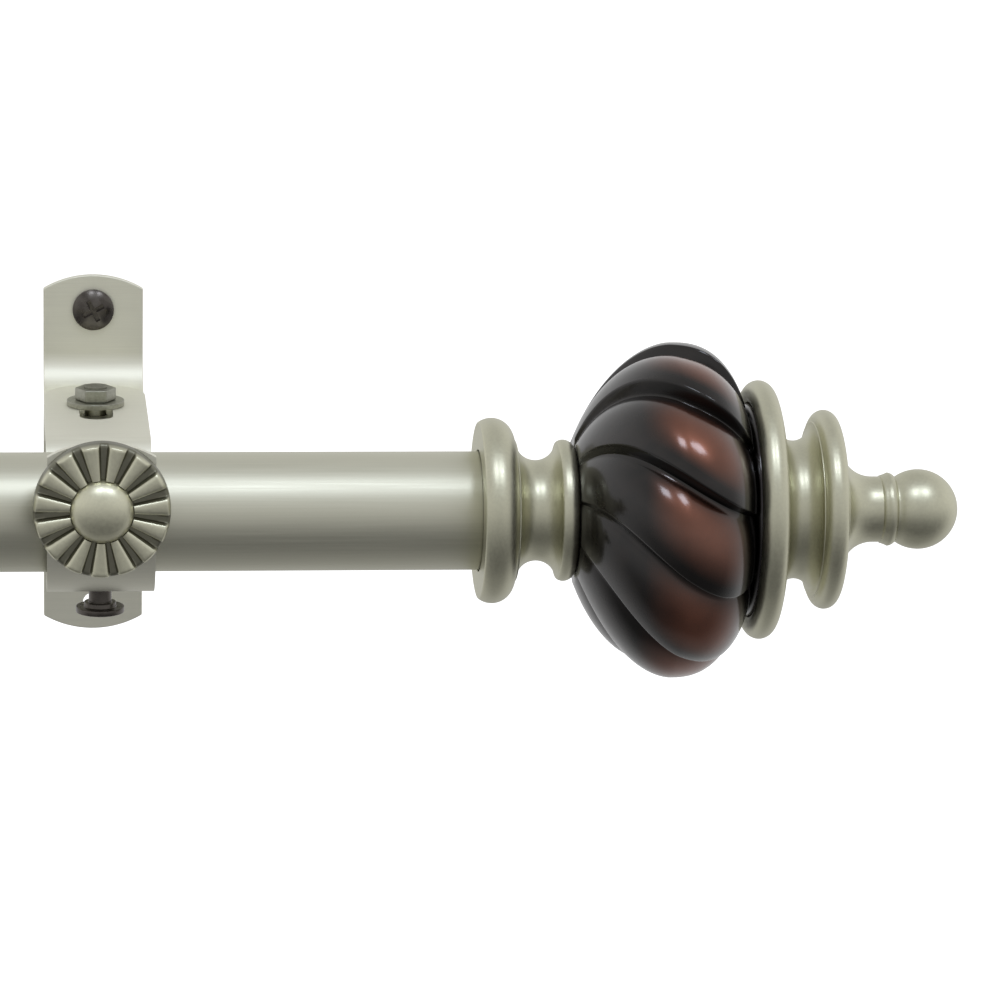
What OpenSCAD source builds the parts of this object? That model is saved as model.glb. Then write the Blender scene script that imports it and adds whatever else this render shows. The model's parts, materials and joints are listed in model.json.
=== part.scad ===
// Adjustable curtain rod: two telescoping tubes, a finial on each end and two
// strap brackets. The rod runs along X, the wall is the plane Y = 0, +Z is up.
// The origin is the upper screw hole of the left bracket, on the wall.

/* [Rod] */
// Outside diameter of the outer tube
outer_d = 25.4; // [25.4:0.1:26]
// Outside diameter of the inner tube
inner_d = 22.2; // [21.8:0.1:22.2]
// Length of each tube
tube_len = 690; // [600:1:900]
// Wall of each tube
tube_wall = 1.2; // [1:0.1:1.3]
// How far the inner tube is drawn out of the outer one
drawn_out = 60; // [24:1:80]

/* [Brackets] */
// Distance between the two brackets
bracket_gap = 583; // [450:1:600]
// Distance from the right bracket to the right finial's collar
bracket_inset = 80.6; // [60:0.1:90]
// Rod axis in front of the wall
projection = 87; // [87:1:99]
// Rod axis below the upper screw hole
drop = 27.2; // [26:0.1:29]
// Width of the strap
strap_w = 22.7; // [20:0.1:23]
// Thickness of the strap
strap_t = 2; // [1.8:0.1:2]
// Height of the wall leg above the rod axis
leg_up = 35.1; // [34:0.1:38]
// Length of the wall leg below the rod axis
leg_down = 48.2; // [48:0.1:55]

/* [Finials] */
// Largest radius of the swirled ball
ball_r = 36.1; // [34:0.1:37]
// Number of swirled lobes around the ball
lobes = 10; // [8:1:12]
// Turn of the lobes at the ball's middle, in degrees per millimetre
swirl = 1.2; // [0.8:0.1:1.6]
// Height of the step between two lobes
lobe_step = 4; // [1:0.1:4]

/* [Rosettes] */
// Radius of the rosette
rosette_r = 14.4; // [13:0.1:15]
// Number of flutes around the rosette
flutes = 15; // [12:1:20]

/* [Hidden] */
$fn = 96;

eps = 0.01;
touch = 0.05;      // gap between flat faces that slide or turn on each other
fit_r = 0.06;      // radial clearance of a thread or a running fit
glue_r = 0.02;     // radial gap between pieces fixed to each other

nickel = [0.72, 0.70, 0.64];
bronze = [0.20, 0.13, 0.10];
blacked = [0.16, 0.15, 0.15];
zinc = [0.62, 0.63, 0.65];
nylon = [0.12, 0.12, 0.12];

outer_r = outer_d / 2;
inner_r = inner_d / 2;
outer_bore = outer_r - tube_wall;
inner_bore = inner_r - tube_wall;

// The bracket is drawn about the rod axis: u is depth towards the wall, v is height.
cup_gap = 2.2;         // room round the rod in the cup; the lock screw carries the rod
cup_in = outer_r + cup_gap;
cup_out = cup_in + strap_t;
leg_front = projection - strap_t;
leg_bend = 8;                      // inside radius where the arm leaves the wall leg
arm_back = leg_front - leg_bend;   // where both bends begin
hem = 0.3;                         // inside radius of the fold at the arm's front
arm_top = 9.3;                     // top of the wall bracket's folded arm
arm_front = 46;                    // front of the folded arm
fold_v = arm_top - strap_t - hem;
low_top = fold_v - hem;
hook_low = arm_top + touch;
hook_top = hook_low + strap_t;
hook_bend = 6;                     // inside radius where the hook turns down
lip_top = 18.8;
lip_end_r = 22;                    // radius of the lip's rounded end
leg_end_r = 22;                    // radius of the wall leg's rounded ends
slot_r = 3.7;
slot_front = 43.5;
slot_back = 69;

// Screws
m5 = 2.5;
hole_gap = 0.1;        // radial gap of a screw in a plain hole
cross_w = 1.1;         // width of a cross recess's slots
arm_screw_u = 55;
upper_hole_v = drop;
lower_hole_v = -42;
wall_hole_r = 2.3;
wall_neck_r = 1.75;    // plain neck inside the hole in the leg
wall_neck_len = strap_t + 0.4;
wall_shank_r = 2.1;
wall_head_r = 4.7;
wall_head_h = 2.6;
wall_head_dome = 7.2;  // radius of the head's rounded top
wall_screw_len = 30;
wall_tip_len = 4;
wall_tip_r = 0.3;
arm_head_r = 4.75;
arm_head_h = 3;
arm_head_dome = 7;
arm_screw_end = 0.5;   // how far the screw stands out of its nut
washer_r = 6.4;
washer_t = 1.2;
nut_t = 2.7;
nut_r = 4.62;
cross_turn = 27;
lock_disc_r = 5.15;
lock_disc_t = 1.2;
lock_boss_r = 3.4;
lock_boss_h = 1;
lock_head_v = -20.6;   // top of the lock screw's disc
lock_gap = 0.1;        // between the lock screw's tip and the tube

// Rosette, along its own axis from the front of the lip
rosette_v = 4.9;
rosette_back = 2.6;
rosette_rim = 0.9;     // radius of the rosette's rounded front edge
dome_r = 6.7;
dome_side = 5.2;       // height of the dome's straight side
dome_ball = 6.9;       // radius of the dome's round top
dome_centre = 0.8;     // height of that radius's centre
groove_w = 1.3;        // width of the grooves between the flutes
groove_floor = 2.9;    // height of the grooves' floor
groove_start = -7.75;  // turn of the first groove
rosette_hole = 4.2;    // depth of the threaded hole in the back

// Finial, along its own axis from the collar's face
socket_deep = 3;
socket_r = outer_r + 0.35;
base_end = 20.6;
ball_end = 56.8;
disc_end = 60;
m6 = 3;
stud_gap = 0.3;        // radial gap of the stud in the finial's pieces
stud_in = 16;
stud_out = 46;
plug_len = 17;
bush_in = 12;          // length of the glide bush inside the inner tube
bush_lip = 3;
bush_bore = 7;

outer_left = bracket_gap + bracket_inset + socket_deep - touch - tube_len;
outer_right = outer_left + tube_len;
inner_left = outer_left - drawn_out;
inner_right = inner_left + tube_len;

// ---------------------------------------------------------------- placing

// Moves the rod's axis onto the X axis of what it places
module on_rod(x = 0) {
    translate([x, -projection, -drop]) children();
}

// Lays what stands along +Z along +X
module along_x() {
    rotate([0, 90, 0]) children();
}

// A finial stands along +Z from its collar; this puts it on the rod's right end
module right_end() {
    on_rod(outer_right - socket_deep + touch) along_x() children();
}

// The left end is the right one turned half round a vertical line
module left_end() {
    on_rod(inner_left + socket_deep - touch) rotate([0, 0, 180]) along_x() children();
}

// ---------------------------------------------------------------- tubes

module tube(x, r, bore) {
    color(nickel) on_rod(x) along_x() difference() {
        cylinder(r = r, h = tube_len);
        translate([0, 0, -1]) cylinder(r = bore, h = tube_len + 2);
    }
}

module outer_tube() {
    tube(outer_left, outer_r, outer_bore);
}

module inner_tube() {
    tube(inner_left, inner_r, inner_bore);
}

// Nylon bush in the inner tube's hidden end, which guides it in the outer tube
module glide_bush() {
    color(nylon) on_rod(inner_right) along_x() difference() {
        union() {
            translate([0, 0, -bush_in]) cylinder(r = inner_bore - glue_r, h = bush_in);
            cylinder(r = outer_bore - fit_r, h = bush_lip);
        }
        translate([0, 0, -bush_in - 1]) cylinder(r = bush_bore, h = bush_in + bush_lip + 2);
    }
}

// Threaded plug in a tube's end
module end_plug(bore) {
    color(nylon) translate([0, 0, socket_deep - touch - plug_len]) difference() {
        cylinder(r = bore - glue_r, h = plug_len);
        translate([0, 0, -1]) cylinder(r = m6, h = plug_len + 2);
    }
}

module right_end_plug() {
    right_end() end_plug(outer_bore);
}

module left_end_plug() {
    left_end() end_plug(inner_bore);
}

// ---------------------------------------------------------------- finials

module stud() {
    color(zinc) translate([0, 0, -stud_in]) cylinder(r = m6 - fit_r, h = stud_in + stud_out);
}

// A turned piece: its half outline lies at x >= 0 with y along the finial
module turned() {
    rotate_extrude() children();
}

// A strip of the half outline from station a to station b, out to radius r
module band(a, b, r) {
    translate([0, a]) square([r, b - a]);
}

// A round bead or cove at station s
module round_at(s, centre, r) {
    translate([centre, s]) circle(r = r);
}

// The base: a round collar, a hollow neck and a thin flange
collar_s = 2.9;
collar_centre = 15.3;
collar_r = 4.6;
neck_s = 12.4;
neck_centre = 15.3;
neck_cove = 4.5;
flange_s = 18.3;
flange_centre = 12.9;
flange_r = 2.3;

module finial_base() {
    color(nickel) difference() {
        turned() intersection() {
            band(0, base_end, ball_r);
            difference() {
                union() {
                    band(0, neck_s, collar_centre);
                    round_at(collar_s, collar_centre, collar_r);
                    band(neck_s, base_end, flange_centre);
                    round_at(flange_s, flange_centre, flange_r);
                }
                round_at(neck_s, neck_centre, neck_cove);
            }
        }
        translate([0, 0, -1]) cylinder(r = socket_r, h = socket_deep + 1);
        translate([0, 0, -1]) cylinder(r = m6 + stud_gap, h = base_end + 2);
    }
}

// The ball's outline: two quarter curves that meet at its widest station, each
// going to nothing at its own reach; the higher its power, the squarer its shoulder
ball_peak = 41.5;
near_reach = 24.2;
near_power = 1.78;
far_reach = 17.9;
far_power = 2.6;

// Radius of the ball's crests at station s
function crest(s) =
    let (
        near = s < ball_peak,
        reach = near ? near_reach : far_reach,
        power = near ? near_power : far_power
    )
    ball_r * pow(1 - pow(abs(s - ball_peak) / reach, power), 1 / power);

// The lobes turn faster at the collar's end of the ball than at the tip's end
swirl_mid = 40;
swirl_ease = 0.02;
swirl_start = 23.6;
function swirl_turn(s) =
    swirl_start - swirl * (s - swirl_mid) + swirl_ease * pow(s - swirl_mid, 2);

ball_rings = 26;
lobe_points = 8;
edge_share = 0.93;     // share of a lobe's width where it drops to the next lobe
crest_share = 0.7;     // share of its width where it is highest

// How far round lobe point k sits, and how far below the crest it lies
function lobe_turn(k) = edge_share * k / (lobe_points - 1);
function lobe_drop(k) = pow(1 - lobe_turn(k) / crest_share, 2);

// Stations crowd towards both ends of the ball, where it curves most
crowding = 0.055;
function station(i) =
    let (t = i / ball_rings)
    base_end + (ball_end - base_end) * (t - crowding * sin(360 * t));

around = lobes * lobe_points;

ball_points = concat(
    [for (i = [0:ball_rings]) for (j = [0:around - 1])
        let (
            s = station(i),
            lobe = floor(j / lobe_points),
            k = j % lobe_points,
            turn = swirl_turn(s) - (lobe + lobe_turn(k)) * 360 / lobes,
            r = crest(s) * (1 - lobe_step / ball_r * lobe_drop(k))
        )
        [r * sin(turn), r * cos(turn), s]],
    [[0, 0, base_end], [0, 0, ball_end]]
);

function ring_point(i, j) = i * around + j % around;
left_hub = (ball_rings + 1) * around;
right_hub = left_hub + 1;

ball_faces = concat(
    [for (i = [0:ball_rings - 1]) for (j = [0:around - 1])
        [ring_point(i, j), ring_point(i, j + 1), ring_point(i + 1, j)]],
    [for (i = [0:ball_rings - 1]) for (j = [0:around - 1])
        [ring_point(i, j + 1), ring_point(i + 1, j + 1), ring_point(i + 1, j)]],
    [for (j = [0:around - 1]) [left_hub, ring_point(0, j + 1), ring_point(0, j)]],
    [for (j = [0:around - 1])
        [right_hub, ring_point(ball_rings, j), ring_point(ball_rings, j + 1)]]
);

module finial_ball() {
    color(bronze) difference() {
        polyhedron(points = ball_points, faces = ball_faces, convexity = 6);
        translate([0, 0, base_end - 1])
            cylinder(r = m6 + stud_gap, h = stud_out + 2 - base_end);
    }
}

disc_centre = 21.3;

module finial_disc() {
    color(bronze) turned() {
        band(ball_end, disc_end, disc_centre);
        round_at((ball_end + disc_end) / 2, disc_centre, (disc_end - ball_end) / 2);
    }
}

// The cap: two rings with a hollow waist between them, a neck, a bead and a round tip
cap_face = 23.2;       // radius of the cap's flat face against the disc
ring_s = 60.7;
ring_centre = 25;
ring_r = 2.9;
second_s = 74.9;
second_centre = 18.95;
second_r = 2.55;
waist_s = 68.3;
waist_centre = 18.7;
waist_r = 3.8;
shoulder_r = 14.1;     // radius where the second ring meets the neck's cove
tip_neck_s = 85.5;
tip_neck_r = 7.1;
tip_cove = 7;
bead_s = 88.7;
bead_centre = 5.95;
bead_r = 2;
tip_s = 95.6;
tip_r = 8.65;

module finial_cap() {
    color(nickel) turned() intersection() {
        band(ring_s - ring_r, tip_s + tip_r, ball_r);
        difference() {
            union() {
                band(disc_end, waist_s, waist_centre);
                band(disc_end, ring_s + ring_r - 0.6, ring_centre);
                round_at(ring_s, ring_centre, ring_r);
                band(waist_s, second_s, second_centre);
                round_at(second_s, second_centre, second_r);
                band(second_s, tip_neck_s, shoulder_r);
                band(tip_neck_s, tip_s, tip_neck_r);
                round_at(bead_s, bead_centre, bead_r);
                intersection() {
                    round_at(tip_s, 0, tip_r);
                    band(bead_s, tip_s + tip_r, tip_r);
                }
            }
            round_at(waist_s, waist_centre, waist_r);
            round_at(tip_neck_s, tip_neck_r + tip_cove, tip_cove);
            band(ball_end, disc_end, cap_face);
        }
    }
}

module right_finial_stud() {
    right_end() stud();
}

module right_finial_base() {
    right_end() finial_base();
}

module right_finial_ball() {
    right_end() finial_ball();
}

module right_finial_disc() {
    right_end() finial_disc();
}

module right_finial_cap() {
    right_end() finial_cap();
}

module left_finial_stud() {
    left_end() stud();
}

module left_finial_base() {
    left_end() finial_base();
}

module left_finial_ball() {
    left_end() finial_ball();
}

module left_finial_disc() {
    left_end() finial_disc();
}

module left_finial_cap() {
    left_end() finial_cap();
}

// ---------------------------------------------------------------- brackets

// A strap's edge-on outline in u and v, given the strap's width along X
module strap() {
    rotate([90, 0, 90]) translate([0, 0, -strap_w / 2])
        linear_extrude(height = strap_w) children();
}

// Bar of the edge-on outline between two corners
module bar(u1, v1, u2, v2) {
    translate([u1, v1]) square([u2 - u1, v2 - v1]);
}

// Bend about (u, v), kept in the quarter or half that su and sv point to
module bend(u, v, inside, su, sv) {
    outside = inside + strap_t;
    translate([u, v]) intersection() {
        difference() {
            circle(r = outside);
            circle(r = inside);
        }
        translate([su > 0 ? 0 : -outside, sv > 0 ? 0 : -outside])
            square([su == 0 ? 2 * outside : outside, sv == 0 ? 2 * outside : outside]);
    }
}

// Flat outline of a strap from v = a to v = b, its end at b rounded to radius r
module strap_end(a, b, r) {
    intersection() {
        translate([-strap_w / 2, a]) square([strap_w, b - a]);
        union() {
            translate([-strap_w / 2, a]) square([strap_w, b - a - strap_w / 4]);
            translate([0, b - r]) circle(r = r);
        }
    }
}

// Keeps a flat outline in X and v over the whole depth
module through_depth() {
    translate([0, projection + 1, 0]) rotate([90, 0, 0])
        linear_extrude(height = projection + 2 * cup_out) children();
}

module wall_bracket() {
    low_bend_v = low_top - strap_t - leg_bend;
    up_bend_v = arm_top + leg_bend;
    arm_start = arm_front + hem + strap_t;    // where the fold at the front begins
    color(nickel) difference() {
        intersection() {
            strap() {
                bar(leg_front, up_bend_v, projection, leg_up + 1);
                bend(arm_back, up_bend_v, leg_bend, 1, -1);
                bar(arm_start, arm_top - strap_t, arm_back, arm_top);
                difference() {
                    translate([arm_start, fold_v]) circle(r = hem + strap_t);
                    translate([arm_start, fold_v]) circle(r = hem);
                    bar(arm_start, 0, arm_back, arm_top + 1);
                }
                bar(arm_start, low_top - strap_t, arm_back, low_top);
                bend(arm_back, low_bend_v, leg_bend, 1, 1);
                bar(leg_front, -leg_down - 1, projection, low_bend_v);
            }
            through_depth() {
                strap_end(0, leg_up, leg_end_r);
                mirror([0, 1]) strap_end(-eps, leg_down, leg_end_r);
            }
        }
        wall_hole(upper_hole_v);
        wall_hole(lower_hole_v);
        translate([0, arm_screw_u, 0]) cylinder(r = m5 + hole_gap, h = arm_top + 1);
    }
}

module wall_hole(v) {
    translate([0, leg_front - 1, v]) rotate([-90, 0, 0])
        cylinder(r = wall_hole_r, h = strap_t + 2);
}

module rod_hook() {
    down = hook_bend + strap_t;
    arm_end = arm_back - strap_w / 2;
    color(nickel) difference() {
        union() {
            intersection() {
                strap() {
                    bar(cup_in + down, hook_low, arm_end, hook_top);
                    bend(cup_in + down, hook_top - down, hook_bend, -1, 1);
                    bar(cup_in, 0, cup_out, hook_top - down);
                    bend(0, 0, cup_in, 0, -1);
                    bar(-cup_out, 0, -cup_in, lip_top + 1);
                }
                through_depth() strap_end(-cup_out - 1, lip_top, lip_end_r);
            }
            intersection() {
                translate([0, arm_end, hook_low]) cylinder(r = strap_w / 2, h = strap_t);
                translate([-strap_w, arm_end - eps, 0]) cube([2 * strap_w, strap_w, hook_top + 1]);
            }
        }
        for (u = [slot_front, slot_back])
            translate([0, u, hook_low - 1]) cylinder(r = slot_r, h = strap_t + 2);
        translate([-slot_r, slot_front, hook_low - 1])
            cube([2 * slot_r, slot_back - slot_front, strap_t + 2]);
        translate([0, -cup_out - 1, rosette_v]) rotate([-90, 0, 0])
            cylinder(r = m5, h = strap_t + 2);
        translate([0, 0, -cup_out - 1]) cylinder(r = m5, h = strap_t + 2);
    }
}

// Cross recess, sunk from z = 0 downwards
module cross_recess(reach, deep) {
    for (a = [0, 90])
        rotate([0, 0, a]) translate([-reach, -cross_w / 2, -deep])
            cube([2 * reach, cross_w, deep + 1]);
}

module wall_screw() {
    color(blacked) translate([0, leg_front, upper_hole_v]) rotate([90, 0, 0]) {
        difference() {
            union() {
                intersection() {
                    cylinder(r = wall_head_r, h = wall_head_h);
                    translate([0, 0, wall_head_h - wall_head_dome]) sphere(r = wall_head_dome);
                }
                translate([0, 0, -wall_neck_len]) cylinder(r = wall_neck_r, h = wall_neck_len + eps);
            }
            translate([0, 0, wall_head_h]) rotate([0, 0, cross_turn])
                cross_recess(reach = 2.6, deep = 1.5);
        }
        translate([0, 0, wall_tip_len - wall_screw_len])
            cylinder(r = wall_shank_r, h = wall_screw_len - wall_tip_len - wall_neck_len + eps);
        translate([0, 0, -wall_screw_len])
            cylinder(r1 = wall_tip_r, r2 = wall_shank_r, h = wall_tip_len + eps);
    }
}

module arm_screw() {
    screw_top = hook_top + touch + washer_t + nut_t + arm_screw_end;
    head_v = low_top - strap_t;
    color(zinc) translate([0, arm_screw_u, 0]) {
        translate([0, 0, head_v - arm_head_h]) difference() {
            intersection() {
                cylinder(r = arm_head_r, h = arm_head_h);
                translate([0, 0, arm_head_dome]) sphere(r = arm_head_dome);
            }
            mirror([0, 0, 1]) cross_recess(reach = 2.4, deep = 1.4);
        }
        translate([0, 0, head_v - eps]) cylinder(r = m5 - fit_r, h = screw_top - head_v);
    }
}

module arm_washer() {
    color(zinc) translate([0, arm_screw_u, hook_top + touch]) difference() {
        cylinder(r = washer_r, h = washer_t);
        translate([0, 0, -1]) cylinder(r = m5 + 2 * hole_gap, h = washer_t + 2);
    }
}

// Hexagon nut with one flat to the front
module arm_nut() {
    color(zinc) translate([0, arm_screw_u, hook_top + 2 * touch + washer_t]) difference() {
        cylinder(r = nut_r, h = nut_t, $fn = 6);
        translate([0, 0, -1]) cylinder(r = m5, h = nut_t + 2);
    }
}

// The rosette and its stud stand along +Z from the front of the lip
module on_lip() {
    translate([0, -cup_out - touch, rosette_v]) rotate([90, 0, 0]) children();
}

module rosette_stud() {
    tip = cup_out - outer_r + touch - 0.5;
    color(zinc) on_lip() translate([0, 0, -tip]) cylinder(r = m5 - fit_r, h = tip + 4);
}

module rosette() {
    color(nickel) on_lip() difference() {
        union() {
            turned() {
                square([rosette_r - rosette_rim, rosette_back + 2 * rosette_rim]);
                square([rosette_r, rosette_back]);
                translate([rosette_r - rosette_rim, rosette_back]) circle(r = rosette_rim);
                square([dome_r, dome_side]);
            }
            translate([0, 0, dome_centre]) intersection() {
                sphere(r = dome_ball);
                cylinder(r = dome_r, h = dome_ball);
            }
        }
        for (i = [0:flutes - 1])
            rotate([0, 0, groove_start + i * 360 / flutes])
                translate([dome_r + 0.6, -groove_w / 2, groove_floor])
                    cube([rosette_r, groove_w, rosette_back + rosette_rim]);
        translate([0, 0, -1]) cylinder(r = m5, h = rosette_hole + 1);
    }
}

module lock_screw() {
    tip_v = -outer_r - lock_gap;
    color(blacked) translate([0, 0, lock_head_v]) difference() {
        union() {
            translate([0, 0, -eps]) cylinder(r = m5 - fit_r, h = tip_v - lock_head_v);
            translate([0, 0, -lock_disc_t]) cylinder(r = lock_disc_r, h = lock_disc_t);
            cylinder(r = lock_boss_r, h = lock_boss_h);
        }
        translate([0, 0, -lock_disc_t]) mirror([0, 0, 1]) cross_recess(reach = 2.2, deep = 0.9);
    }
}

module left_wall_bracket() {
    on_rod() wall_bracket();
}

module left_rod_hook() {
    on_rod() rod_hook();
}

module left_wall_screw() {
    on_rod() wall_screw();
}

module left_arm_screw() {
    on_rod() arm_screw();
}

module left_arm_washer() {
    on_rod() arm_washer();
}

module left_arm_nut() {
    on_rod() arm_nut();
}

module left_rosette_stud() {
    on_rod() rosette_stud();
}

module left_rosette() {
    on_rod() rosette();
}

module left_lock_screw() {
    on_rod() lock_screw();
}

module right_wall_bracket() {
    on_rod(bracket_gap) wall_bracket();
}

module right_rod_hook() {
    on_rod(bracket_gap) rod_hook();
}

module right_wall_screw() {
    on_rod(bracket_gap) wall_screw();
}

module right_arm_screw() {
    on_rod(bracket_gap) arm_screw();
}

module right_arm_washer() {
    on_rod(bracket_gap) arm_washer();
}

module right_arm_nut() {
    on_rod(bracket_gap) arm_nut();
}

module right_rosette_stud() {
    on_rod(bracket_gap) rosette_stud();
}

module right_rosette() {
    on_rod(bracket_gap) rosette();
}

module right_lock_screw() {
    on_rod(bracket_gap) lock_screw();
}

outer_tube();
inner_tube();
glide_bush();
right_end_plug();
left_end_plug();
right_finial_stud();
right_finial_base();
right_finial_ball();
right_finial_disc();
right_finial_cap();
left_finial_stud();
left_finial_base();
left_finial_ball();
left_finial_disc();
left_finial_cap();
left_wall_bracket();
left_rod_hook();
left_wall_screw();
left_arm_screw();
left_arm_washer();
left_arm_nut();
left_rosette_stud();
left_rosette();
left_lock_screw();
right_wall_bracket();
right_rod_hook();
right_wall_screw();
right_arm_screw();
right_arm_washer();
right_arm_nut();
right_rosette_stud();
right_rosette();
right_lock_screw();
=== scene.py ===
import json
import math

import bpy
from mathutils import Matrix, Vector


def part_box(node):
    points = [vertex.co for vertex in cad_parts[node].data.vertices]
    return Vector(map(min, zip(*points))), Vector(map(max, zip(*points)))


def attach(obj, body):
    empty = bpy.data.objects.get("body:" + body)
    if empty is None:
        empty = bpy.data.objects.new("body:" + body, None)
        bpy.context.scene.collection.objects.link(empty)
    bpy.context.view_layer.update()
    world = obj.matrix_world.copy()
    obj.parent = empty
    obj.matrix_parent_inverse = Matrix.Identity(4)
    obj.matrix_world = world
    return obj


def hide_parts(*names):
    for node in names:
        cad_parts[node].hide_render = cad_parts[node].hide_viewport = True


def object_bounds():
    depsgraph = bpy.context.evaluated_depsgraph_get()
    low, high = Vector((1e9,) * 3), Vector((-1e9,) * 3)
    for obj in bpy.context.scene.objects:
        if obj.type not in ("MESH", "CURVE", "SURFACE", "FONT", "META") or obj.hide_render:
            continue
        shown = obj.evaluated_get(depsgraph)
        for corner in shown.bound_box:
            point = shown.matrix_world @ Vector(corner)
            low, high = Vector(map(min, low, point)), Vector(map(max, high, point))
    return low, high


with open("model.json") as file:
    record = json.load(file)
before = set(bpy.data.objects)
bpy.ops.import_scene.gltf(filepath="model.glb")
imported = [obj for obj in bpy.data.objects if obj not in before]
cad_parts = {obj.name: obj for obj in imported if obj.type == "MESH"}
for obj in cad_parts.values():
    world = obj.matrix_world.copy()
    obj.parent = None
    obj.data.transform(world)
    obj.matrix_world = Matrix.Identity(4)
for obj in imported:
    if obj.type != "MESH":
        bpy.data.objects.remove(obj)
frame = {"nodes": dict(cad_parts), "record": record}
CAD_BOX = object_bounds()
NODES = frame["nodes"]
MM = 0.001
SIDES = ("left", "right")


# ---------------------------------------------------------------- positions

def centre(node):
    low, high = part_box(node)
    return (low + high) / 2


AXIS = centre("outer_tube")  # the rod's axis, parallel to X
BRACKET_X = centre("right_wall_bracket").x


# ---------------------------------------------------------------- materials

def principled(name, colour, **sockets):
    """A material with one Principled shader. Sockets are given by their names."""
    material = bpy.data.materials.new(name)
    material.use_nodes = True
    shader = material.node_tree.nodes["Principled BSDF"]
    shader.inputs["Base Color"].default_value = (*colour, 1)
    for socket, value in sockets.items():
        shader.inputs[socket.replace("_", " ")].default_value = value
    return material, shader


def noise(material, scale, detail=3.0, stretch=(1, 1, 1)):
    """A noise texture in the piece's own frame, so that it moves with the piece."""
    nodes, links = material.node_tree.nodes, material.node_tree.links
    place = nodes.new("ShaderNodeTexCoord")
    mapping = nodes.new("ShaderNodeMapping")
    texture = nodes.new("ShaderNodeTexNoise")
    mapping.inputs["Scale"].default_value = stretch
    texture.inputs["Scale"].default_value = scale
    texture.inputs["Detail"].default_value = detail
    links.new(place.outputs["Object"], mapping.inputs["Vector"])
    links.new(mapping.outputs["Vector"], texture.inputs["Vector"])
    return texture


def remap(tree, value, start, stop, low, high):
    """A socket's value, taken from one range to another."""
    step = tree.nodes.new("ShaderNodeMapRange")
    for name, limit in (
        ("From Min", start), ("From Max", stop), ("To Min", low), ("To Max", high)
    ):
        step.inputs[name].default_value = limit
    tree.links.new(value, step.inputs["Value"])
    return step.outputs["Result"]


def colours(sockets):
    return [socket for socket in sockets if socket.type == "RGBA"]


def mix_colour(tree, factor):
    """A colour mix by a socket; returns its two inputs and its result."""
    mix = tree.nodes.new("ShaderNodeMix")
    mix.data_type = "RGBA"
    tree.links.new(factor, mix.inputs["Factor"])
    return (*colours(mix.inputs), colours(mix.outputs)[0])


def spread(material, source, target, low, high):
    """Maps the middle of a noise's range to a socket's range."""
    tree = material.node_tree
    tree.links.new(remap(tree, source.outputs["Fac"], 0.35, 0.65, low, high), target)


def tint(material, shader, source, dark, light):
    """Mixes two colours by the middle of a noise's range, into the base colour."""
    nodes, links = material.node_tree.nodes, material.node_tree.links
    ramp = nodes.new("ShaderNodeValToRGB")
    for point, position, colour in zip(ramp.color_ramp.elements, (0.35, 0.65), (dark, light)):
        point.position = position
        point.color = (*colour, 1)
    links.new(source.outputs["Fac"], ramp.inputs["Fac"])
    links.new(ramp.outputs["Color"], shader.inputs["Base Color"])


def bump(material, shader, source, strength, depth):
    """Raises a noise as a fine relief; the depth is in metres."""
    nodes, links = material.node_tree.nodes, material.node_tree.links
    relief = nodes.new("ShaderNodeBump")
    relief.inputs["Strength"].default_value = strength
    relief.inputs["Distance"].default_value = depth
    links.new(source.outputs["Fac"], relief.inputs["Height"])
    links.new(relief.outputs["Normal"], shader.inputs["Normal"])


def satin_nickel():
    """Brushed nickel plate on the tubes, with fine lines along the rod."""
    material, shader = principled("satin_nickel", (0.66, 0.65, 0.55), Metallic=1.0)
    brushed = noise(material, 1.0, 4, (40, 4200, 4200))
    spread(material, brushed, shader.inputs["Roughness"], 0.42, 0.50)
    tint(material, shader, brushed, (0.64, 0.635, 0.525), (0.68, 0.67, 0.56))
    return material


def strap_nickel():
    """A lighter, duller plate on the brackets' straps, brushed across them."""
    material, shader = principled("strap_nickel", (0.85, 0.84, 0.73), Metallic=1.0)
    brushed = noise(material, 1.0, 4, (60, 3000, 3000))
    spread(material, brushed, shader.inputs["Roughness"], 0.53, 0.59)
    tint(material, shader, brushed, (0.835, 0.825, 0.715), (0.865, 0.855, 0.745))
    return material


def nickel_casting(name="nickel_casting", light=1.0):
    """The same plate on cast pieces: warmer, with a fine grain; light scales its colour."""
    material, shader = principled(name, (0.61, 0.60, 0.46), Metallic=1.0)
    grain = noise(material, 1600, 3)
    spread(material, grain, shader.inputs["Roughness"], 0.36, 0.42)
    darker, lighter = ([light * k for k in c] for c in ((0.59, 0.58, 0.45), (0.63, 0.62, 0.48)))
    tint(material, shader, grain, darker, lighter)
    bump(material, shader, grain, 0.08, 0.00002)
    return material


def lit_and_shaded_nickel(floor_y, top_y):
    """The cast plate, made lighter as a painted highlight on the ribs and darkened towards the floor
    of its grooves along Y, as painted shade together with an antique darkening.
    """
    # 1.2 times the casting's colour: a painted highlight on the ribs.
    material = nickel_casting("lit_and_shaded_nickel", 1.2)
    tree = material.node_tree
    base = tree.nodes["Principled BSDF"].inputs["Base Color"]
    place = tree.nodes.new("ShaderNodeTexCoord")
    split = tree.nodes.new("ShaderNodeSeparateXYZ")
    tree.links.new(place.outputs["Object"], split.inputs["Vector"])
    # Painted shade with an antique darkening: the colour falls to 0.3 of itself at the grooves'
    # floor.
    depth = remap(tree, split.outputs["Y"], floor_y, top_y, 0.3, 1.0)
    dark, plain, result = mix_colour(tree, depth)
    dark.default_value = (0, 0, 0, 1)
    tree.links.new(base.links[0].from_socket, plain)
    tree.links.new(result, base)
    return material


def bronze_lacquer():
    """Oil-rubbed bronze under a gloss lacquer: near black, with flecks of copper."""
    material, shader = principled(
        "bronze_lacquer", (0.01, 0.0075, 0.0065), Metallic=1.0,
        Coat_Weight=1.0, Coat_Roughness=0.15, Coat_IOR=1.5,
    )
    flake = noise(material, 260, 3)
    spread(material, flake, shader.inputs["Roughness"], 0.34, 0.40)
    tint(material, shader, flake, (0.007, 0.0055, 0.005), (0.013, 0.0095, 0.008))
    return material


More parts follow.
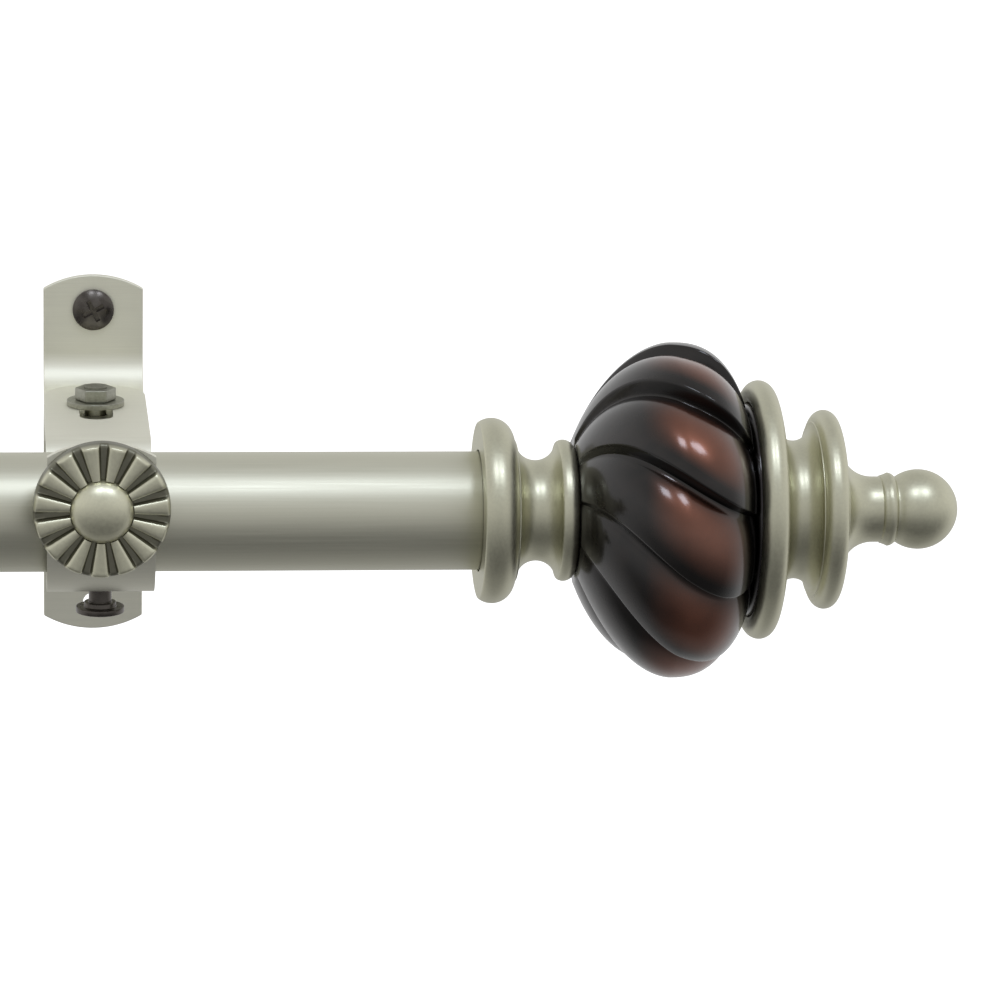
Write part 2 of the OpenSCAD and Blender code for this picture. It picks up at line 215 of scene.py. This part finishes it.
def wear_and_glow_bronze():
    """The same bronze on the balls, with copper mixed in by a mesh attribute: bronze rubbed through
    to copper on the lobes' crowns, and a painted copper glow of the lamps.
    """
    material = bronze_lacquer()
    material.name = "wear_and_glow_bronze"
    tree = material.node_tree
    base = tree.nodes["Principled BSDF"].inputs["Base Color"]
    # The mesh attribute: rubbed copper together with a painted copper glow of the lamps.
    worn = tree.nodes.new("ShaderNodeAttribute")
    worn.attribute_name = "wear_and_glow"
    uneven = remap(tree, noise(material, 55, 4).outputs["Fac"], 0.3, 0.7, 0.55, 1.0)
    share = tree.nodes.new("ShaderNodeMath")
    share.operation = "MULTIPLY"
    tree.links.new(worn.outputs["Fac"], share.inputs[0])
    tree.links.new(uneven, share.inputs[1])
    dark, copper_wear_and_glow, result = mix_colour(tree, share.outputs["Value"])
    # Copper colour: the bare metal of worn bronze, and a painted glow of the lamps.
    copper_wear_and_glow.default_value = (0.26, 0.09, 0.05, 1)
    tree.links.new(base.links[0].from_socket, dark)
    tree.links.new(result, base)
    return material


def black_screw():
    """Blackened steel, a little worn."""
    material, shader = principled("black_screw", (0.08, 0.07, 0.062), Metallic=0.9)
    worn = noise(material, 420, 3)
    spread(material, worn, shader.inputs["Roughness"], 0.24, 0.34)
    tint(material, shader, worn, (0.085, 0.076, 0.068), (0.13, 0.118, 0.105))
    return material


def zinc_steel():
    """Dull zinc plate on the nuts, washers and arm screws."""
    material, shader = principled("zinc_steel", (0.34, 0.34, 0.29), Metallic=1.0)
    grain = noise(material, 1500, 3)
    spread(material, grain, shader.inputs["Roughness"], 0.30, 0.38)
    tint(material, shader, grain, (0.30, 0.30, 0.25), (0.38, 0.38, 0.32))
    return material


def black_nylon():
    """The moulded plugs and the glide bush."""
    material, shader = principled("black_nylon", (0.03, 0.03, 0.03))
    grain = noise(material, 600, 3)
    spread(material, grain, shader.inputs["Roughness"], 0.45, 0.6)
    return material


FINISHES = {
    "satin_nickel": satin_nickel(),
    "nickel_casting": nickel_casting(),
    "bronze_lacquer": bronze_lacquer(),
    "black_screw": black_screw(),
    "zinc_steel": zinc_steel(),
    "black_nylon": black_nylon(),
}
SLOT_OF = {p["node"]: p["material_slot"] for p in frame["record"]["subparts"]}
BODY_OF = {n: b for b, ns in frame["record"]["behaviour"]["bodies"].items() for n in ns}


def finish_with(obj, slot):
    """Gives an object the finish of one of the record's material slots."""
    obj.data.materials.clear()
    obj.data.materials.append(FINISHES[slot])


for name, node in NODES.items():
    finish_with(node, SLOT_OF[name])
STRAP = strap_nickel()
for side in SIDES:
    for part in ("wall_bracket", "rod_hook"):
        NODES[f"{side}_{part}"].data.materials[0] = STRAP


# ---------------------------------------------------------------- CAD nodes' edges

def soften(node, width):
    """Rounds a node's sharp edges by a width in millimetres, by modifiers only."""
    weld = node.modifiers.new("weld", "WELD")
    weld.merge_threshold = 1e-6
    flats = node.modifiers.new("flats", "DECIMATE")
    flats.decimate_type = "DISSOLVE"
    flats.angle_limit = math.radians(0.3)
    bevel = node.modifiers.new("bevel", "BEVEL")
    bevel.width = width * MM
    bevel.segments = 2
    bevel.limit_method = "ANGLE"
    bevel.angle_limit = math.radians(35)
    bevel.use_clamp_overlap = True
    normals = node.modifiers.new("normals", "WEIGHTED_NORMAL")
    normals.keep_sharp = False
    normals.weight = 100


EDGES = {
    "wall_bracket": 0.22, "rod_hook": 0.22, "arm_nut": 0.25, "arm_washer": 0.15,
    "arm_screw": 0.1, "wall_screw": 0.1, "lock_screw": 0.12, "finial_cap": 0.4,
    "finial_base": 0.4,
}
for side in SIDES:
    for part, width in EDGES.items():
        soften(NODES[f"{side}_{part}"], width)


# ---------------------------------------------------------------- meshes

def rings(name, rows, closed=False):
    """A surface through rows of points; each row goes once round. Closed joins the last
    row to the first; otherwise both ends are capped by a fan."""
    around = len(rows[0])
    verts = [p for row in rows for p in row]
    faces = []
    for i in range(len(rows) if closed else len(rows) - 1):
        a, b = i * around, (i + 1) % len(rows) * around
        for j in range(around):
            k = (j + 1) % around
            faces.append((a + j, a + k, b + k, b + j))
    if not closed:
        for row, turn in ((0, -1), (len(rows) - 1, 1)):
            hub = len(verts)
            verts.append(sum(rows[row], Vector()) / around)
            start = row * around
            for j in range(around):
                k = (j + 1) % around
                faces.append((start + j, start + k, hub)[::turn])
    mesh = bpy.data.meshes.new(name)
    mesh.from_pydata([tuple(v) for v in verts], [], faces)
    mesh.validate()
    mesh.shade_smooth()
    obj = bpy.data.objects.new(name, mesh)
    bpy.context.scene.collection.objects.link(obj)
    return obj


def stands_for(obj, node):
    """Gives a piece the node's body, finish and place in the assembly."""
    finish_with(obj, SLOT_OF[node])
    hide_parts(node)
    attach(obj, BODY_OF[node])


def sharpen(obj, degrees):
    """Keeps the edges crisp that turn by more than an angle."""
    obj.data.set_sharp_from_angle(angle=math.radians(degrees))


# ---------------------------------------------------------------- tubes

WALL = 1.2 * MM
END_ROUND = 0.25 * MM


def tube(node, segments=160):
    """A round tube with its end edges softened."""
    low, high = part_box(node)
    r = (high.z - low.z) / 2
    bore = r - WALL
    e = END_ROUND
    outline = []
    for x, sign in ((low.x, 1), (high.x, -1)):
        lip = [(x + sign * e, bore), (x + sign * 0.3 * e, bore + 0.3 * e), (x, bore + e)]
        lip += [(x, r - e), (x + sign * 0.3 * e, r - 0.3 * e), (x + sign * e, r)]
        outline += lip if sign == 1 else lip[::-1]
    rows = []
    for x, radius in outline:
        row = []
        for j in range(segments):
            t = 2 * math.pi * j / segments
            row.append(Vector((x, AXIS.y + radius * math.cos(t), AXIS.z + radius * math.sin(t))))
        rows.append(row)
    obj = rings("fine_" + node, rows, closed=True)
    sharpen(obj, 30)
    stands_for(obj, node)


tube("outer_tube")
tube("inner_tube")


# ---------------------------------------------------------------- swirled balls

BALL_START = 20.6        # stations along the finial from its collar, in millimetres
BALL_END = 56.8
BALL_PEAK = 41.5
BALL_R = 36.1
LOBES = 10
STEP = 4.0               # depth of the step between two lobes
CREST_AT = 0.7           # share of a lobe's width where it is highest
EDGE_AT = 0.93           # share where it drops to the next lobe
TO_COLLAR = (24.2, 1.78)  # reach and power of the crest's curve, on each side of its peak
TO_CAP = (17.9, 2.6)
SWIRL_AT = 40            # station where the first lobe has the swirl's angle
SWIRL_ANGLE = 23.6       # in degrees
SWIRL_RATE = 1.2         # in degrees for each millimetre
SWIRL_EASE = 0.02        # how the rate falls towards the cap


def crest(s):
    """The lobes' outer radius at a station, fuller towards the cap."""
    reach, power = TO_COLLAR if s < BALL_PEAK else TO_CAP
    return BALL_R * (1 - (abs(s - BALL_PEAK) / reach) ** power) ** (1 / power)


def swirl_turn(s):
    """The first lobe's angle at a station, in degrees."""
    along = s - SWIRL_AT
    return SWIRL_ANGLE - SWIRL_RATE * along + SWIRL_EASE * along ** 2


def lobe_drop(w):
    """How far a lobe's surface lies below its crest, for w from 0 to 1 across it."""
    rise = (1 - min(w, EDGE_AT) / CREST_AT) ** 2
    if w < EDGE_AT:
        return rise
    u = (w - EDGE_AT) / (1 - EDGE_AT)
    return rise + (1 - rise) * u * u * (3 - 2 * u)


def wear_and_glow(w, s):
    """How much copper shows at a point: most on a lobe's crown, as bronze rubbed through and as a
    painted glow of the lamps, centred across and along the ball where their reflections fall; none
    in the hollows or at the collar.
    """
    across, along = (w - 0.42) / 0.4, (s - 44) / 12
    return max(0.0, 1 - across ** 2) * max(0.0, 1 - along ** 2) ** 1.5


def lobe_shares():
    """Places across one lobe, close together at its step."""
    rise = [EDGE_AT * (1 - (1 - k / 18) ** 1.5) for k in range(18)]
    fall = [EDGE_AT + (1 - EDGE_AT) * k / 8 for k in range(8)]
    return rise + fall


def ball(side):
    """The swirled ball, a ring of lobes at each station, closer together at both ends."""
    node = f"{side}_finial_ball"
    low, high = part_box(node)
    way = 1 if side == "right" else -1
    start = (low.x if way == 1 else high.x) - way * BALL_START * MM
    rows, copper_wear_and_glow = [], []
    count, crowding = 150, 0.055
    for i in range(count + 1):
        t = i / count
        t -= crowding * math.sin(2 * math.pi * t)
        s = BALL_START + (BALL_END - BALL_START) * t
        # Each point's share of copper: rubbed wear and painted lamp glow.
        copper_wear_and_glow += [wear_and_glow(w, s) for w in lobe_shares()] * LOBES
        row = []
        for lobe in range(LOBES):
            for w in lobe_shares():
                turn = math.radians(swirl_turn(s) - (lobe + w) * 360 / LOBES)
                r = crest(s) * (1 - STEP / BALL_R * lobe_drop(w)) * MM
                row.append(Vector((
                    start + way * s * MM,
                    AXIS.y + way * r * math.cos(turn),
                    AXIS.z - r * math.sin(turn),
                )))
        rows.append(row)
    obj = rings("swirled_ball_" + side, rows)
    sharpen(obj, 80)
    stands_for(obj, node)
    obj.data.materials[0] = WEAR_AND_GLOW_BRONZE
    # Stores the copper share, rubbed wear and painted lamp glow, on the mesh's points.
    worn = obj.data.attributes.new("wear_and_glow", "FLOAT", "POINT")
    worn.data.foreach_set("value", copper_wear_and_glow + [0, 0])


WEAR_AND_GLOW_BRONZE = wear_and_glow_bronze()
for side in SIDES:
    ball(side)


# ---------------------------------------------------------------- rosettes

ROSETTE_R = 14.4         # sizes in millimetres, heights from the rosette's back
DOME_R = 6.7
DOME_FOOT = 3.4
DOME_HEIGHT = 4.2
FLUTES = 15
FLUTE_START = math.radians(-7.75)
RIB_TOP = 4.4
RIB_CROWN = 2.2
RIB_HALF = 0.28          # half of a rib's width, as a share of the flute
GROOVE_WALL = 0.1        # width of a groove's sloping wall, as a share of the flute
GROOVE_FLOOR = 2.7
RIM_START = 13.6
RIM_T = 1.6
ACROSS = (               # places across one flute, close together at the rib's edges
    -0.5, -0.43, -0.38, -0.355, -0.33, -0.305, -0.28, -0.15,
    0, 0.15, 0.28, 0.305, 0.33, 0.355, 0.38, 0.43,
)


def rosette_height(r, w):
    """Height of the rosette's front at radius r, w from -0.5 to 0.5 across a flute."""
    if r < DOME_R:
        return DOME_FOOT + DOME_HEIGHT * math.sqrt(max(0.0, 1 - (r / DOME_R) ** 2))
    rib = RIB_TOP - RIB_CROWN * w * w
    wall = min(1.0, max(0.0, (abs(w) - RIB_HALF) / GROOVE_WALL))
    flute = rib - (rib - GROOVE_FLOOR) * wall * wall * (3 - 2 * wall)
    if r > RIM_START:
        edge = math.sqrt(max(0.0, 1 - ((r - RIM_START) / (ROSETTE_R - RIM_START)) ** 2))
        flute = RIM_T + (flute - RIM_T) * edge
    return flute


def rosette(side):
    """The fluted rosette: rings over the dome, across the flutes and round the rim."""
    node = f"{side}_rosette"
    middle = centre(node)
    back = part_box(node)[1].y
    pitch = 2 * math.pi / FLUTES
    turns = [FLUTE_START + pitch * (k + w + 0.5) for k in range(FLUTES) for w in ACROSS]
    radii = [0.02] + [DOME_R * math.sin(math.pi / 2 * k / 20) for k in range(1, 20)]
    radii += [DOME_R - 0.03, DOME_R + 0.03] + [DOME_R + 0.3 + 0.4 * k for k in range(17)]
    radii += [
        RIM_START + (ROSETTE_R - RIM_START) * math.sin(math.pi / 2 * k / 8) for k in range(1, 9)
    ]

    def point(r, t, h):
        return Vector((
            middle.x + r * MM * math.cos(t), back - h * MM, middle.z + r * MM * math.sin(t)
        ))

    rows = [
        [point(r, t, rosette_height(r, ACROSS[i % len(ACROSS)])) for i, t in enumerate(turns)]
        for r in radii
    ]
    rows += [[point(r, t, 0) for t in turns] for r in (ROSETTE_R, ROSETTE_R - 0.4)]
    obj = rings("fluted_rosette_" + side, rows)
    sharpen(obj, 60)
    stands_for(obj, node)
    obj.data.materials[0] = LIT_AND_SHADED


LIT_AND_SHADED = lit_and_shaded_nickel(
    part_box("right_rosette")[1].y - GROOVE_FLOOR * MM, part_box("right_rosette")[1].y - RIB_TOP * MM
)
for side in SIDES:
    rosette(side)


# ---------------------------------------------------------------- stage

LAMP_SIZE = 0.34         # in metres
LAMP_DISTANCE = 1.6
LAMP_POWER = 3.6         # in watts


def floor():
    """A plain pale floor, a little below the object."""
    mesh = bpy.data.meshes.new("floor")
    z = CAD_BOX[0].z - 0.25
    mesh.from_pydata([(-8, -8, z), (8, -8, z), (8, 8, z), (-8, 8, z)], [], [(0, 1, 2, 3)])
    obj = bpy.data.objects.new("floor", mesh)
    bpy.context.scene.collection.objects.link(obj)
    material, shader = principled("floor", (0.9, 0.9, 0.9), Roughness=0.9)
    shader.inputs["Emission Color"].default_value = (1, 1, 1, 1)
    shader.inputs["Emission Strength"].default_value = 0.7
    obj.data.materials.append(material)
    obj.visible_glossy = False
    obj.visible_diffuse = False


# The studio's brightness by height of direction, from straight down (-1) to straight up (1)
IN_FRONT = (
    (-1.0, 0.28), (-0.87, 0.12), (-0.6, 0.14), (-0.3, 0.25),
    (0.0, 0.47), (0.3, 0.60), (0.7, 0.50), (1.0, 0.50),
)
BEHIND = ((-1.0, 0.28), (-0.8, 0.5), (0.0, 0.68), (0.4, 0.70), (0.8, 0.56), (1.0, 0.50))


def surroundings():
    """White where the camera sees it; a soft studio, lighter above and behind, for the rest."""
    world = bpy.data.worlds.new("studio")
    bpy.context.scene.world = world
    world.use_nodes = True
    tree = world.node_tree
    nodes, links = tree.nodes, tree.links
    nodes.clear()
    place = nodes.new("ShaderNodeTexCoord")
    split = nodes.new("ShaderNodeSeparateXYZ")
    links.new(place.outputs["Generated"], split.inputs["Vector"])

    height = remap(tree, split.outputs["Z"], -1, 1, 0, 1)
    front, back, blend = mix_colour(tree, remap(tree, split.outputs["Y"], -0.35, 0.35, 0, 1))
    for socket, stops in ((front, IN_FRONT), (back, BEHIND)):
        ramp = nodes.new("ShaderNodeValToRGB")
        points = ramp.color_ramp.elements
        while len(points) < len(stops):
            points.new(0.5)
        for point, (z, grey) in zip(points, stops):
            point.position = (z + 1) / 2
            point.color = (grey, grey, grey, 1)
        links.new(height, ramp.inputs["Fac"])
        links.new(ramp.outputs["Color"], socket)
    aside = nodes.new("ShaderNodeMath")
    aside.operation = "ABSOLUTE"
    links.new(split.outputs["X"], aside.inputs[0])
    soft = nodes.new("ShaderNodeBackground")
    white = nodes.new("ShaderNodeBackground")
    path = nodes.new("ShaderNodeLightPath")
    mix = nodes.new("ShaderNodeMixShader")
    out = nodes.new("ShaderNodeOutputWorld")
    links.new(blend, soft.inputs["Color"])
    links.new(remap(tree, aside.outputs["Value"], 0, 1, 1, 1.3), soft.inputs["Strength"])
    links.new(path.outputs["Is Camera Ray"], mix.inputs["Fac"])
    links.new(soft.outputs["Background"], mix.inputs[1])
    links.new(white.outputs["Background"], mix.inputs[2])
    links.new(mix.outputs["Shader"], out.inputs["Surface"])
    white.inputs["Color"].default_value = (1, 1, 1, 1)


def softbox(name, direction, aim):
    """A square area light in a direction from the point it is aimed at."""
    light = bpy.data.lights.new(name, "AREA")
    light.shape = "RECTANGLE"
    light.size = light.size_y = LAMP_SIZE
    light.energy = LAMP_POWER
    light.color = (0.8, 0.87, 1.0)
    obj = bpy.data.objects.new(name, light)
    bpy.context.scene.collection.objects.link(obj)
    away = Vector(direction).normalized()
    obj.location = aim + away * LAMP_DISTANCE
    obj.rotation_euler = away.to_track_quat("Z", "Y").to_euler()


def lights():
    """Two lamps high in front, aimed between the bracket and the finial."""
    aim = Vector((BRACKET_X + 0.08, AXIS.y, AXIS.z))
    softbox("key_left", (-0.15, -0.44, 0.90), aim)
    softbox("key_right", (0.33, -0.44, 0.90), aim)


def camera():
    """The view of the rod's right end: from in front and a little above, turned right."""
    distance = 1.0
    pitch, up_tilt, yaw, roll = (math.radians(a) for a in (13.5, 0.128, 5.95, 0.19))
    foot = Vector((BRACKET_X - 0.0188, AXIS.y, AXIS.z))
    ahead = Vector((0, math.cos(pitch), -math.sin(pitch)))
    up = Vector((0, math.sin(pitch), math.cos(pitch)))
    place = foot - ahead * distance
    right = Vector((1, 0, 0))
    ahead, up = (
        ahead * math.cos(up_tilt) + up * math.sin(up_tilt),
        up * math.cos(up_tilt) - ahead * math.sin(up_tilt),
    )
    ahead, right = (
        ahead * math.cos(yaw) + right * math.sin(yaw),
        right * math.cos(yaw) - ahead * math.sin(yaw),
    )
    right, up = (
        right * math.cos(roll) - up * math.sin(roll),
        up * math.cos(roll) + right * math.sin(roll),
    )
    data = bpy.data.cameras.new("camera")
    data.sensor_width = 36
    data.lens = 168.84
    data.clip_start = 0.01
    obj = bpy.data.objects.new("camera", data)
    bpy.context.scene.collection.objects.link(obj)
    turn = Matrix((right, up, -ahead)).transposed()
    obj.matrix_world = Matrix.Translation(place) @ turn.to_4x4()
    bpy.context.scene.camera = obj


floor()
surroundings()
lights()
camera()
bpy.context.scene.view_settings.view_transform = "Standard"
